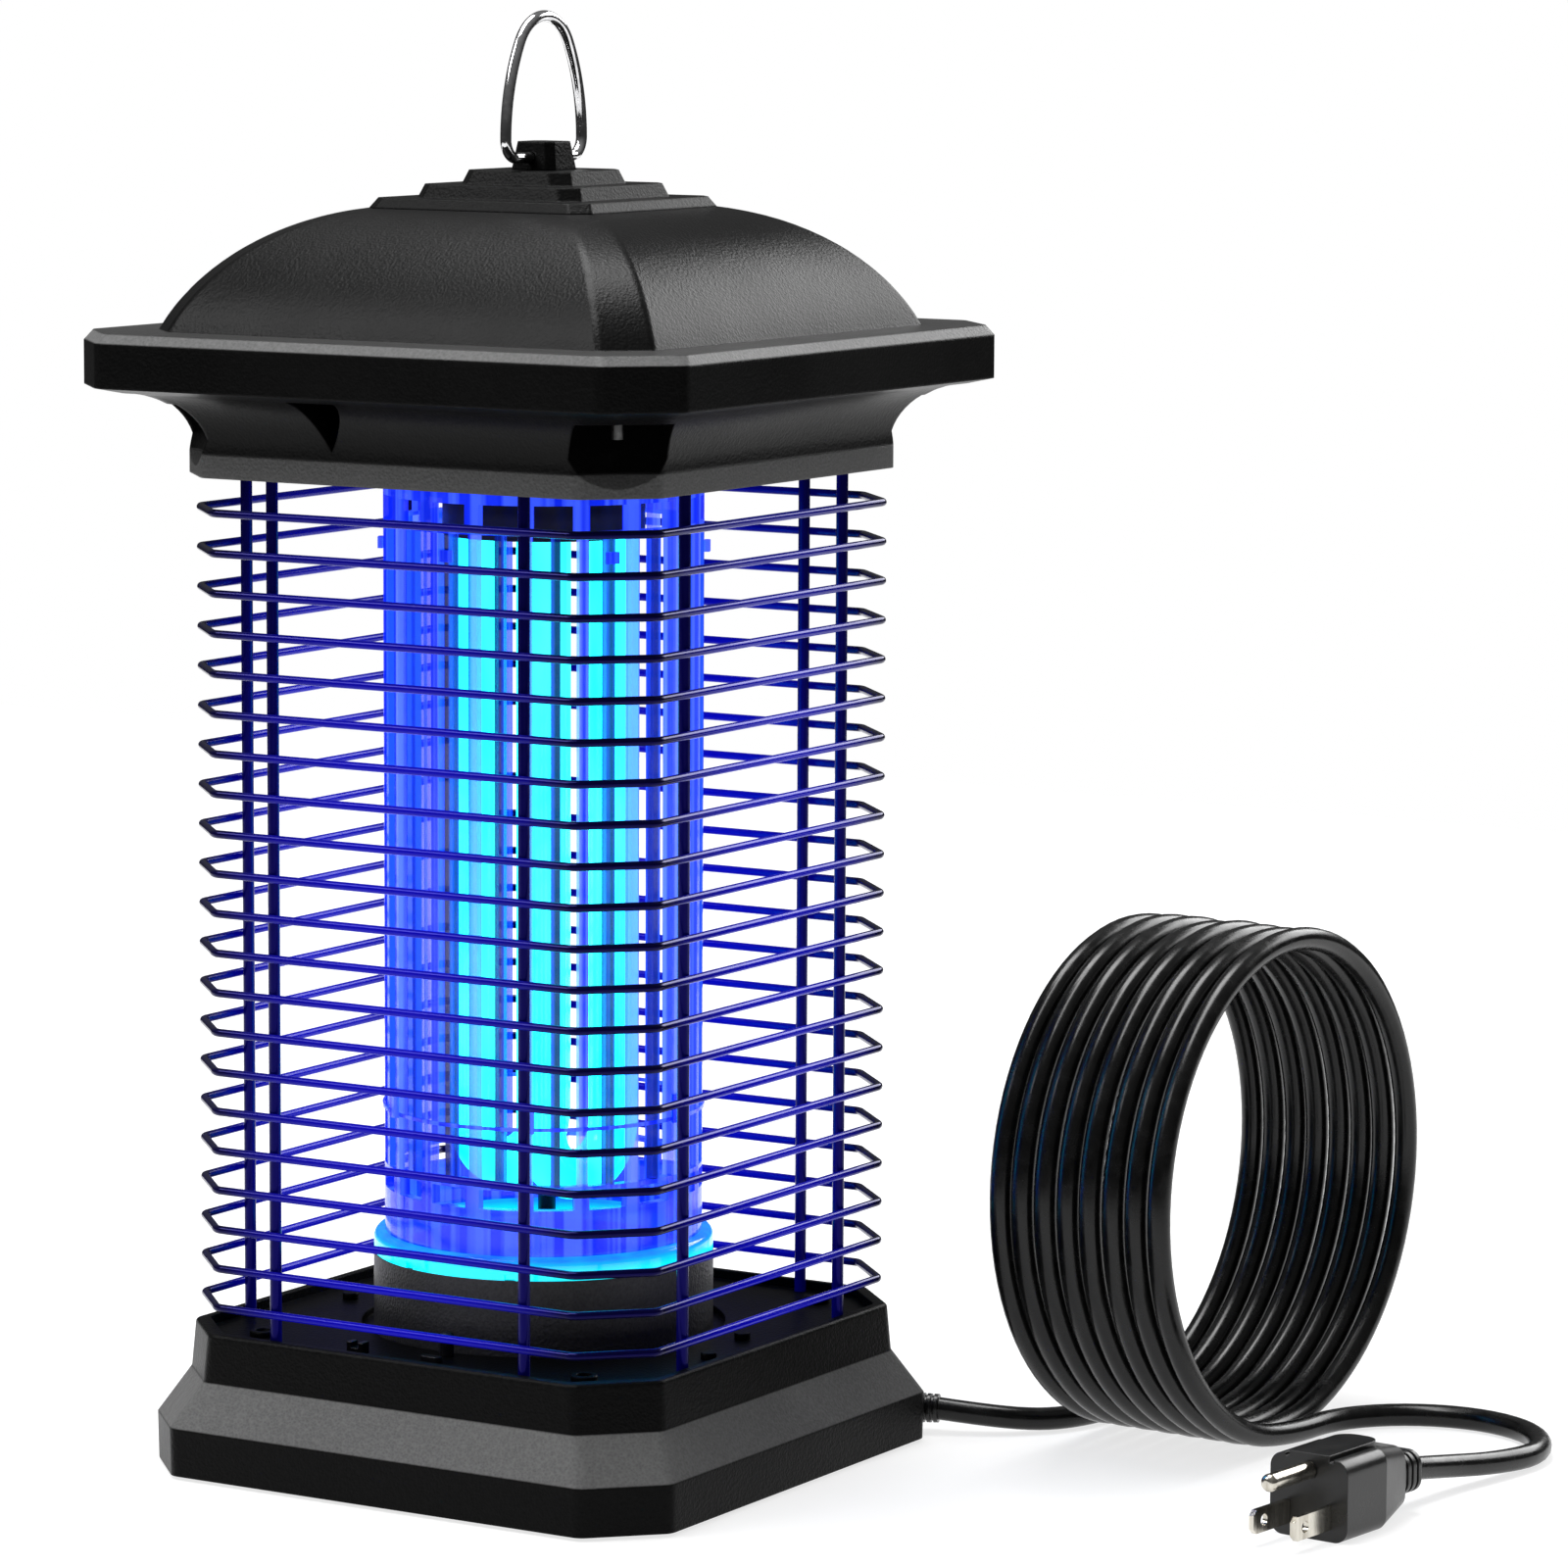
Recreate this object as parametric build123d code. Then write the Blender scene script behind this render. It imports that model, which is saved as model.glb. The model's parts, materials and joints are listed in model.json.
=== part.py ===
from build123d import *
import math
import os

# Electric bug zapper, millimetres, +Z up, origin at the middle of the footprint on the floor it stands on.
# The housing is square in plan with cut-off corners: "half" is the distance from the axis to a wide side,
# "cut" is the length that a corner cut takes off each side.

# Housing
FOOT_HEIGHT, FOOT_OUT, FOOT_RADIUS = 1.0, 66.0, 5.0
BASE_HALF, BASE_CUT = 83.3, 17.5
BASE_BAND_TOP = 14.0
BASE_SLOPE_TOP = 26.4
BASE_TIER_HALF, BASE_TIER_CUT = 76.3, 16.8
BASE_TOP_HALF = 75.4
BASE_TOP = 39.5
DECK_TOP, DECK_UNDERSIDE = 37.0, 33.0
DECK_HALF = 72.6
WALL = 3.0
EDGE_ROUND = 4.5
BASE_DRAFT, BASE_TOP_ROUND = 0.2, 1.2
COLLAR_HALF, COLLAR_CUT = 75.1, 15.6
COLLAR_BOTTOM, COLLAR_FLOOR, COLLAR_TOP = 271.2, 275.0, 277.5
COVE_HALF, COVE_TOP = 90.0, 294.0
RIM_HALF, RIM_CUT, RIM_WALL = 95.2, 15.9, 5.0
RIM_BOTTOM, RIM_TOP = 295.3, 307.1
BEVEL_HALF, BEVEL_TOP = 93.4, 309.8
DOME_RADIUS, DOME_CENTRE_HALF, DOME_CENTRE_Z = 55.0, 28.2, 287.6
DOME_FOOT_CUT, DOME_TOP_CUT = 10.5, 4.3
DOME_END_ANGLE = 81.6
TIERS = [(35.6, 33.8, 344.8), (26.2, 24.8, 348.4), (17.7, 16.3, 352.1)]
TIER_CUT = 4.3
BLOCK_BOTTOM_HALF, BLOCK_TOP_HALF, BLOCK_TOP, BLOCK_CUT = 7.1, 5.9, 359.7, 2.0

# Hood corner scoops and the notch in its cove
SCOOP_RADIUS, SCOOP_LEAN, SCOOP_WIDTH, SCOOP_LOW_Z, SCOOP_CEILING = 32.0, 31.0, 26.0, 273.8, 291.0
HOOD_SCREW_OUT, HOOD_SCREW_RADIUS, HOOD_SCREW_DROP, HOOD_SCREW_SLOT = 93.5, 1.5, 4.5, (2.2, 0.6, 0.8)
NOTCH_LEFT, NOTCH_TIP_X, NOTCH_RIGHT, NOTCH_TIP_Z, NOTCH_TOP = -24.0, -17.0, -9.0, 280.0, 293.4

# Wire guard
LOOP_COUNT, LOOP_LOW, LOOP_HIGH = 21, 46.5, 261.8
LOOP_HALF, LOOP_CUT, LOOP_WIRE, LOOP_BEND, LOOP_LEG = 73.0, 15.6, 2.2, 4.0, 3.0
POST_WIRE, POST_OUT, POST_ACROSS = 3.2, 70.2, 40.0
POST_BOTTOM, POST_TOP, POST_SOCKET = 35.0, 273.0, 1.65

# Killing grid and lamp
GRID_OUT, GRID_IN = 43.5, 40.5
BAR_COUNT, BAR_WIDTH, BAR_TURN = 36, 2.5, -2.5
BAR_LOW, BAR_HIGH = 82.0, 257.0
WINDOW_COUNT, WINDOW_ANGLE, WINDOW_TURN = 18, 14.6, 7.0
TOP_BAND_TOP = 275.5
TOP_WINDOW = (258.0, 265.0)
LOW_BAND_BOTTOM = 74.0
LOW_WINDOW = (75.5, 80.8)
SKIRT_BOTTOM = 63.0
FLANGE_OUT, FLANGE_BOTTOM, FLANGE_SHOULDER = 46.5, 57.0, 61.0
NICK_COUNT, NICK_TURN, NICK_WIDE, NICK_HIGH = 9, 12.0, 3.0, 1.6
CUP_OUT, CUP_IN, CUP_BOTTOM = 46.6, 44.0, 35.0
RECESS_RADIUS = 50.0
LUG_OUT, LUG_COUNT, LUG_WIDE, LUG_ROUND = 45.2, 6, 4.0, 0.6
LOW_LUG = (96.7, 104.4)
HIGH_LUG = (249.5, 252.6)
HOOP_CLEAR, HOOP_THICK, HOOP_SPAN = 0.08, 0.5, (3.4, 2.4)
TUBE_RADIUS, TUBE_RING, TUBE_TURN = 6.75, 19.0, 31.3
TUBE_TOP, TUBE_LOW = 254.0, 72.5
HOLDER_RADIUS = 27.5
CONDUIT_RADIUS, CONDUIT_RING, CONDUIT_ANGLE, CONDUIT_BOTTOM, CONDUIT_ARM_Z = 2.5, 36.5, 122.0, 39.0, 42.0

# Emptying tray in the underside
TRAY_RADIUS, TRAY_GAP, TRAY_WALL_OUT, TRAY_WALL_TOP = 47.0, 0.4, 43.0, 30.0
TRAY_BOTTOM, TRAY_FLOOR, TRAY_WALL = 1.2, 5.0, 1.6
GRIP_RADIUS, GRIP_DEEP, GRIP_BAR = 17.0, 2.2, (40.0, 5.0, 3.0)
PLATE_TOP = 4.0
LUG_REACH, LUG_ANGLE, LUG_HEIGHT = 2.6, 16.0, 2.0
TRAY_RELEASE = 28.0

# Deck and underside fixings
SCREW_PLACE, SCREW_HOLE, SCREW_SHANK, SCREW_HEAD, SCREW_SEAT, SEAT_DEPTH = 56.0, 1.6, 1.45, 3.0, 3.2, 1.8
PILLAR_RADIUS, PILLAR_BORE, PILLAR_DEPTH, SHANK_DEPTH = 4.2, 1.5, 12.0, 11.0
CROSS_LONG, CROSS_WIDE, CROSS_DEEP = 4.0, 0.8, 0.9
CAP_PLACE, CAP_RADIUS, CAP_BORE, CAP_HEIGHT = (52.0, 59.6), 3.6, 2.1, 1.6
STOP_PLACES = [(65.5, -19.3), (60.0, 6.8), (-65.5, 19.3), (-60.0, -6.8)]
STOP_RADIUS, STOP_HEIGHT = 2.2, 1.8
PEG_PLACE, PEG_RADIUS, PEG_HEIGHT = (4.5, -54.0), 1.9, 6.5
LOCK_PLACE, LOCK_LONG, LOCK_WIDE, LOCK_HEIGHT = (5.1, -62.3), 6.4, 2.5, 1.6
CLIP_PLACE, CLIP_WIDTH, CLIP_DEPTH, CLIP_HEIGHT, CLIP_GAP = (-17.7, -63.8), 5.2, 3.0, 3.2, 2.2
TERMINAL_PLACE, TERMINAL_SIZE, TERMINAL_PITCH = (66.0, 33.0), (11.0, 26.0, 9.0), 8.0
TERMINAL_SCREW, TERMINAL_DEEP = 1.8, 3.0

# Supply inside the hood
BOARD_BOTTOM, BOARD_LONG, BOARD_WIDE, BOARD_THICK = 282.0, 104.0, 74.0, 1.6
BOARD_TOP = BOARD_BOTTOM + BOARD_THICK
BOARD_FIXING, BOARD_HOLE, BOARD_PILLAR = (47.0, 32.0), 1.6, 3.0
COIL_PLACE, COIL_FORMER, COIL_CORE, CORE_LIFT = (-24.0, 6.0), (34.0, 28.0, 20.0), (22.0, 38.0, 14.0), 3.0
CAPACITOR_PLACE, CAPACITOR_PITCH, CAPACITOR_RADIUS, CAPACITOR_TOP = (16.0, -12.0), 15.0, 5.5, 301.0

# Hanging ring
RING_WIRE, RING_PIVOT_Z, RING_HALF = 3.0, 355.5, 18.5
RING_TOP, RING_BEND, RING_TOP_RADIUS = 393.2, 5.0, 13.5
RING_END, RING_BORE = 2.0, 1.58

# Mains cord
CORD = 6.4
CORD_RADIUS = CORD / 2
GLAND_HEADING, GLAND_LENGTH, GLAND_IN, GLAND_END = 19.5, 20.0, 4.6, 4.0
GLAND_RINGS, GLAND_FIRST, GLAND_PITCH, GLAND_GROOVE, GLAND_DEEP = 3, 1.6, 1.9, 0.8, 0.5
COIL_RADIUS, COIL_TURN = 72.0, -4.0
COIL_BACK = (113.5, 121.9)
COIL_FRONT = (171.5, 117.8)
LEAD_POINTS = [
    (80.5, 78.5, 6.6), (94.6, 83.5, 5.1), (105.8, 93.5, 3.5), (112.5, 106.9, 3.25), (113.5, 121.9, 3.2),
]
TAIL_POINTS = [
    (171.5, 117.8, 3.2), (173.1, 140.2, 3.25), (187.9, 157.1, 3.2), (209.9, 161.6, 3.25),
    (230.2, 151.9, 3.2), (240.5, 131.9, 3.3), (236.6, 109.7, 4.4), (230.8, 86.4, 7.4), (228.3, 62.5, 11.0),
]

# Plug
PLUG_WIDTH, PLUG_THICK, PLUG_STRAIGHT, PLUG_LENGTH, PLUG_NECK = 24.0, 22.0, 19.0, 34.0, 17.0
PLUG_RELIEF, PLUG_RELIEF_WIDE, PLUG_RELIEF_THICK = 9.0, 15.8, 11.5
GROOVE_COUNT, GROOVE_FIRST, GROOVE_PITCH, GROOVE_WIDE, GROOVE_DEEP = 3, 1.9, 2.6, 1.1, 0.9
SLOT_OUT, SLOT_WIDE, SLOT_DEEP = 3.1, 3.0, 1.9
PAD_WIDE, PAD_LONG, PAD_ROUND, PAD_PROUD, PAD_GROOVE = 12.4, 26.0, 5.0, 0.9, 1.3
PLUG_OVER_CORD, PLUG_ROUND = 3.0, 4.0
BLADE_APART, BLADE_WIDE, BLADE_THICK, BLADE_LONG, BLADE_UP = 12.7, 6.4, 1.5, 17.5, 4.4
BLADE_EYE, BLADE_EYE_BACK, BLADE_TIP = 1.6, 5.0, 1.4
PIN_RADIUS, PIN_LONG, PIN_DOWN, PIN_ROUND = 2.4, 20.5, 7.4, 1.8
PIN_ROOT, PIN_ROOT_PROUD, CONTACT_DEEP = 2.1, 0.5, 6.0

CORNERS = [(1, -1), (1, 1), (-1, 1), (-1, -1)]
ON_BASE = (Align.CENTER, Align.CENTER, Align.MIN)


def turned(angle):
    """A turn about the vertical axis."""
    return Rot(0, 0, angle)


def section(half, cut, z, round_=EDGE_ROUND):
    """The housing's outline at one height: a square with cut, rounded corners."""
    side = half - cut
    outline = Polygon(
        (half, -side), (half, side), (side, half), (-side, half),
        (-half, side), (-half, -side), (-side, -half), (side, -half), align=None,
    )
    return Pos(0, 0, z) * fillet(outline.vertices(), round_)


def prism(half, cut, low, high, round_=EDGE_ROUND):
    return extrude(section(half, cut, low, round_), high - low)


def taper(low, high, round_=EDGE_ROUND):
    """A straight-sided piece between two sections, each (half, cut, z)."""
    return loft([section(*low, round_), section(*high, round_)], ruled=True)


def ring(outer, inner, low, high):
    return rod(0, 0, outer, low, high) - rod(0, 0, inner, low, high)


def rod(x, y, radius, low, high):
    return Pos(x, y, low) * Cylinder(radius, high - low, align=ON_BASE)


def brick(x, y, low, width, depth, height):
    return Pos(x, y, low) * Box(width, depth, height, align=ON_BASE)


def block_at(radius, depth, width, low, high, angle):
    """A block on the grid's circle, from radius inwards by depth."""
    shape = Pos(radius - depth / 2, 0, (low + high) / 2) * Box(depth, width, high - low)
    return turned(angle) * shape


def wedge(outer, inner, low, high, start, sweep_angle):
    """A slice of a ring."""
    flat = Pos((outer + inner) / 2, 0) * Rectangle(outer - inner, high - low)
    slice_ = revolve(Plane.XZ * flat, Axis.Z, sweep_angle)
    return Pos(0, 0, (low + high) / 2) * turned(start) * slice_


def group(pieces):
    """Separate solids in one node."""
    return Compound(children=[solid for piece in pieces for solid in piece.solids()])


def placed(place):
    """One place in each quarter of the plan."""
    return [(place[0] * x, place[1] * y) for x, y in CORNERS]


def screw_places():
    return placed((SCREW_PLACE, SCREW_PLACE))


# ------------------------------------------------------------------ base

def gland_axis():
    """The line the cord leaves on, pointing outwards."""
    heading = math.radians(GLAND_HEADING)
    return Plane(origin=LEAD_POINTS[0], z_dir=(math.cos(heading), math.sin(heading), 0))


def gland_hole(clearance):
    start = gland_axis().offset(-GLAND_LENGTH)
    return start * Cylinder(GLAND_IN + clearance, 2 * GLAND_LENGTH, align=ON_BASE)


def base_shell():
    outer = taper((BASE_HALF - BASE_DRAFT, BASE_CUT, FOOT_HEIGHT), (BASE_HALF, BASE_CUT, BASE_BAND_TOP))
    outer += taper((BASE_HALF, BASE_CUT, BASE_BAND_TOP), (BASE_TIER_HALF, BASE_TIER_CUT, BASE_SLOPE_TOP))
    outer += taper((BASE_TIER_HALF, BASE_TIER_CUT, BASE_SLOPE_TOP),
                   (BASE_TOP_HALF, BASE_TIER_CUT, BASE_TOP))
    top_edges = outer.edges().filter_by_position(Axis.Z, BASE_TOP - 0.01, BASE_TOP + 0.01)
    outer = fillet(top_edges, BASE_TOP_ROUND)
    inside = prism(BASE_HALF - WALL, BASE_CUT, FOOT_HEIGHT, BASE_BAND_TOP - 1)
    inside += taper((BASE_HALF - WALL, BASE_CUT, BASE_BAND_TOP - 1),
                    (BASE_TIER_HALF - 2 * WALL, BASE_TIER_CUT, BASE_SLOPE_TOP))
    inside += prism(BASE_TIER_HALF - 2 * WALL, BASE_TIER_CUT, BASE_SLOPE_TOP, DECK_UNDERSIDE)
    inside += prism(DECK_HALF, BASE_TIER_CUT, DECK_UNDERSIDE, BASE_TOP + 1)
    return outer - inside - gland_hole(0.1)


def base_deck():
    deck = prism(DECK_HALF - 0.05, BASE_TIER_CUT, DECK_UNDERSIDE, DECK_TOP)
    deck -= rod(0, 0, RECESS_RADIUS, CUP_BOTTOM, DECK_TOP)
    deck -= rod(0, 0, CUP_IN, DECK_UNDERSIDE, DECK_TOP)
    for x, y in post_places():
        deck -= rod(x, y, POST_SOCKET, POST_BOTTOM, DECK_TOP)
    for x, y in screw_places():
        deck += rod(x, y, PILLAR_RADIUS, PLATE_TOP, DECK_UNDERSIDE)
        deck -= rod(x, y, PILLAR_BORE, PLATE_TOP, PLATE_TOP + PILLAR_DEPTH)
    return deck


def deck_bosses():
    """A hollow cap near each corner of the deck, and four low stops beside the cup."""
    bosses = []
    for x, y in placed(CAP_PLACE):
        cap = rod(x, y, CAP_RADIUS, DECK_TOP, DECK_TOP + CAP_HEIGHT)
        cap -= rod(x, y, CAP_BORE, DECK_TOP + CAP_HEIGHT / 2, DECK_TOP + CAP_HEIGHT)
        bosses.append(chamfer(cap.edges().filter_by(GeomType.CIRCLE).group_by(Axis.Z)[-1][:1], 0.3))
    for x, y in STOP_PLACES:
        bosses.append(rod(x, y, STOP_RADIUS, DECK_TOP, DECK_TOP + STOP_HEIGHT))
    return group(bosses)


def cup_lock():
    """The peg and the bar that mark and hold the cup's position, and a small clip."""
    peg = rod(*PEG_PLACE, PEG_RADIUS, DECK_TOP, DECK_TOP + PEG_HEIGHT)
    peg = chamfer(peg.edges().group_by(Axis.Z)[-1], 0.5)
    bar = extrude(Pos(*LOCK_PLACE, DECK_TOP) * SlotOverall(LOCK_LONG, LOCK_WIDE), LOCK_HEIGHT)
    clip = brick(*CLIP_PLACE, DECK_TOP, CLIP_WIDTH, CLIP_DEPTH, CLIP_HEIGHT)
    clip -= brick(*CLIP_PLACE, DECK_TOP + CLIP_HEIGHT / 2, CLIP_GAP, CLIP_DEPTH + 1, CLIP_HEIGHT)
    return group([peg, bar, clip])


def base_bottom_plate():
    plate = prism(BASE_HALF - WALL - 0.1, BASE_CUT, FOOT_HEIGHT, PLATE_TOP)
    plate -= rod(0, 0, TRAY_RADIUS + TRAY_GAP, FOOT_HEIGHT, PLATE_TOP)
    reach = TRAY_RADIUS + LUG_REACH + TRAY_GAP
    for k in range(3):
        start = 120 * k + TRAY_RELEASE - LUG_ANGLE / 2 - 1
        plate -= wedge(reach, TRAY_RADIUS - 2, FOOT_HEIGHT - 1, PLATE_TOP + 1, start, LUG_ANGLE + 2)
    for x, y in screw_places():
        plate -= rod(x, y, SCREW_HOLE, FOOT_HEIGHT, PLATE_TOP)
        plate -= rod(x, y, SCREW_SEAT, FOOT_HEIGHT, FOOT_HEIGHT + SEAT_DEPTH)
    return plate - gland_hole(0.4)


def base_screws():
    screws = []
    for x, y in screw_places():
        screw = rod(x, y, SCREW_HEAD, FOOT_HEIGHT + 0.3, FOOT_HEIGHT + SEAT_DEPTH)
        screw += rod(x, y, SCREW_SHANK, FOOT_HEIGHT + SEAT_DEPTH, PLATE_TOP + SHANK_DEPTH)
        screw -= brick(x, y, FOOT_HEIGHT, CROSS_LONG, CROSS_WIDE, CROSS_DEEP)
        screw -= brick(x, y, FOOT_HEIGHT, CROSS_WIDE, CROSS_LONG, CROSS_DEEP)
        screws.append(screw)
    return group(screws)


def rubber_feet():
    return group([rod(x, y, FOOT_RADIUS, 0, FOOT_HEIGHT) for x, y in placed((FOOT_OUT, FOOT_OUT))])


def collection_tray():
    tray = rod(0, 0, TRAY_RADIUS, TRAY_BOTTOM, TRAY_FLOOR)
    tray += ring(TRAY_WALL_OUT, TRAY_WALL_OUT - TRAY_WALL, TRAY_FLOOR, TRAY_WALL_TOP)
    for k in range(3):
        tray += wedge(TRAY_RADIUS + LUG_REACH, TRAY_RADIUS - 3, PLATE_TOP + 0.3,
                      PLATE_TOP + 0.3 + LUG_HEIGHT, 120 * k - LUG_ANGLE / 2, LUG_ANGLE)
    grip = rod(0, 0, GRIP_RADIUS, TRAY_BOTTOM, TRAY_BOTTOM + GRIP_DEEP)
    grip -= brick(0, 0, TRAY_BOTTOM, *GRIP_BAR)
    return tray - grip


def terminal_block():
    x, y = TERMINAL_PLACE
    block = brick(x, y, PLATE_TOP, *TERMINAL_SIZE)
    top = PLATE_TOP + TERMINAL_SIZE[2]
    for k in (-1, 0, 1):
        block -= rod(x, y + TERMINAL_PITCH * k, TERMINAL_SCREW, top - TERMINAL_DEEP, top)
    return block


def cord_gland():
    """A tapered strain relief with grip rings, through the base's corner face."""
    start = gland_axis().offset(-GLAND_LENGTH)
    relief = start * Cone(GLAND_IN, GLAND_END, GLAND_LENGTH, align=ON_BASE)
    for k in range(GLAND_RINGS):
        groove = gland_axis().offset(-GLAND_FIRST - GLAND_PITCH * k)
        cut = groove * Cylinder(GLAND_IN + 1, GLAND_GROOVE)
        relief -= cut - groove * Cylinder(GLAND_END - GLAND_DEEP, GLAND_GROOVE + 0.1)
    return relief


# ------------------------------------------------------------------ guard

def stacked(piece, angle):
    """One piece of a loop, repeated up the guard and turned to its side."""
    pitch = (LOOP_HIGH - LOOP_LOW) / (LOOP_COUNT - 1)
    return group([turned(angle) * Pos(0, 0, LOOP_LOW + pitch * k) * piece for k in range(LOOP_COUNT)])


def guard_side(angle):
    """The straight stretches of the loops on one side."""
    reach = LOOP_HALF - LOOP_CUT - LOOP_LEG
    start = Plane(origin=(-reach, -LOOP_HALF, 0), z_dir=(1, 0, 0))
    wire = start * Cylinder(LOOP_WIRE / 2, 2 * reach, align=ON_BASE)
    return stacked(wire, angle)


def guard_corner(angle):
    """The loops' corner pieces between two sides, with a short leg at each end."""
    side = LOOP_HALF - LOOP_CUT
    path = FilletPolyline(
        (side - LOOP_LEG, -LOOP_HALF), (side, -LOOP_HALF),
        (LOOP_HALF, -side), (LOOP_HALF, LOOP_LEG - side), radius=LOOP_BEND,
    )
    start = Plane(origin=path @ 0, z_dir=path % 0)
    return stacked(sweep(start * Circle(LOOP_WIRE / 2), path), angle)


def post_places():
    places = []
    for x, y in CORNERS:
        places += [(x * POST_ACROSS, y * POST_OUT), (x * POST_OUT, y * POST_ACROSS)]
    return places


def guard_posts():
    return group([rod(x, y, POST_WIRE / 2, POST_BOTTOM, POST_TOP) for x, y in post_places()])


# ------------------------------------------------------------------ grid and lamp

def windowed_band(low, high, window):
    band = ring(GRID_OUT, GRID_IN, low, high)
    for k in range(WINDOW_COUNT):
        start = 360 / WINDOW_COUNT * k + WINDOW_TURN - WINDOW_ANGLE / 2
        band -= wedge(GRID_OUT + 1, GRID_IN - 1, *window, start, WINDOW_ANGLE)
    return band


def grid_bars(first):
    """Every other upright bar of the grid."""
    pitch = 360 / BAR_COUNT
    return group([
        block_at(GRID_OUT, GRID_OUT - GRID_IN, BAR_WIDTH, BAR_LOW, BAR_HIGH, BAR_TURN + pitch * k)
        for k in range(first, BAR_COUNT, 2)
    ])


def tie_lugs(span, turn):
    """Small rounded lugs on the outside of the bars."""
    lugs = []
    pitch = 360 / LUG_COUNT
    for k in range(LUG_COUNT):
        angle = BAR_TURN + pitch * k + turn
        lug = block_at(LUG_OUT, LUG_OUT - GRID_OUT - 0.1, LUG_WIDE, *span, angle)
        lugs.append(fillet(lug.edges().filter_by(Axis.Z), LUG_ROUND))
    return group(lugs)


def grid_tie_ring():
    """A thin hoop round the bars at the lower lugs."""
    middle = sum(LOW_LUG) / 2
    inner = GRID_OUT + HOOP_CLEAR
    return ring(inner + HOOP_THICK, inner, middle - HOOP_SPAN[0], middle - HOOP_SPAN[1])


def grid_skirt():
    return ring(GRID_OUT, GRID_IN, SKIRT_BOTTOM, LOW_BAND_BOTTOM)


def flange_ring():
    """The bright ring on the cup: a flat band with a rounded shoulder and small slots."""
    shoulder = SKIRT_BOTTOM - FLANGE_SHOULDER
    body = rod(0, 0, FLANGE_OUT, FLANGE_BOTTOM, SKIRT_BOTTOM)
    body = fillet(body.edges().group_by(Axis.Z)[-1], shoulder)
    body -= rod(0, 0, GRID_IN, FLANGE_BOTTOM, SKIRT_BOTTOM)
    for k in range(NICK_COUNT):
        angle = 360 / NICK_COUNT * k + NICK_TURN
        body -= block_at(FLANGE_OUT + 1, 2.0, NICK_WIDE, FLANGE_BOTTOM, FLANGE_BOTTOM + NICK_HIGH, angle)
    return body


def lamp_cup():
    return ring(CUP_OUT, CUP_IN, CUP_BOTTOM, FLANGE_BOTTOM)


def lamp_tube(turn):
    """A U-shaped discharge tube: two legs and the bend that joins them."""
    spread = TUBE_RING / math.sqrt(2)
    low = TUBE_LOW + TUBE_RADIUS + spread
    path = Line((-spread, TUBE_TOP), (-spread, low))
    path += CenterArc((0, low), spread, 180, 180)
    path += Line((spread, low), (spread, TUBE_TOP))
    upright = Plane.XZ.offset(spread) * path
    start = Plane(origin=upright @ 0, z_dir=upright % 0)
    return turned(turn) * sweep(start * Circle(TUBE_RADIUS), upright)


def lamp_holder():
    holder = rod(0, 0, GRID_IN - 0.1, TOP_WINDOW[1] + 1, TOP_BAND_TOP)
    holder += rod(0, 0, HOLDER_RADIUS, TUBE_TOP, TOP_WINDOW[1] + 1)
    angle = math.radians(CONDUIT_ANGLE)
    x, y = CONDUIT_RING * math.cos(angle), CONDUIT_RING * math.sin(angle)
    return holder - rod(x, y, CONDUIT_RADIUS + 0.1, TUBE_TOP, TOP_BAND_TOP)


def conduit():
    """The sleeve that takes the mains leads from the base up to the hood."""
    sleeve = rod(CONDUIT_RING, 0, CONDUIT_RADIUS, CONDUIT_BOTTOM, TOP_BAND_TOP + 2)
    arm = Plane(origin=(CONDUIT_RING, 0, CONDUIT_ARM_Z), z_dir=(1, 0, 0))
    sleeve += arm * Cylinder(2.0, CUP_IN - CONDUIT_RING - 0.3, align=ON_BASE)
    return turned(CONDUIT_ANGLE) * sleeve


# ------------------------------------------------------------------ hood

def scoop(growth, ceiling):
    """The leaning round cut at one corner, which meets the collar's face at its lowest point."""
    corner = (2 * COLLAR_HALF - COLLAR_CUT) / math.sqrt(2)
    lean = math.radians(SCOOP_LEAN)
    centre_out = corner + SCOOP_RADIUS / math.cos(lean)
    axis = Plane(origin=(centre_out, 0, SCOOP_LOW_Z), z_dir=(-math.sin(lean), 0, math.cos(lean)))
    cut = axis * Cylinder(SCOOP_RADIUS + growth, 160)
    keep = brick(corner, 0, SCOOP_LOW_Z - 40, 160, SCOOP_WIDTH + 2 * growth, ceiling - SCOOP_LOW_Z + 40)
    return turned(-45) * (cut & keep)


def cove_sections():
    """A concave curve from the collar out to the rim."""
    sections = []
    for k in range(5):
        angle = math.radians(22.5 * k)
        half = COLLAR_HALF + (COVE_HALF - COLLAR_HALF) * (1 - math.cos(angle))
        z = COLLAR_TOP + (COVE_TOP - COLLAR_TOP) * math.sin(angle)
        sections.append(section(half, COLLAR_CUT, z))
    return sections


def dome_sections(radius, low_z):
    """Sections of the dome, whose side is an arc; the corner cut narrows upwards."""
    start = math.degrees(math.asin((low_z - DOME_CENTRE_Z) / radius))
    foot = DOME_CENTRE_HALF + radius * math.cos(math.radians(start))
    sections = []
    for k in range(7):
        angle = math.radians(start + (DOME_END_ANGLE - start) * k / 6)
        half = DOME_CENTRE_HALF + radius * math.cos(angle)
        share = (foot - half) / (foot - DOME_CENTRE_HALF)
        cut = DOME_FOOT_CUT + (DOME_TOP_CUT - DOME_FOOT_CUT) * share
        sections.append(section(half, cut, DOME_CENTRE_Z + radius * math.sin(angle), 2.5))
    return sections


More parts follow.
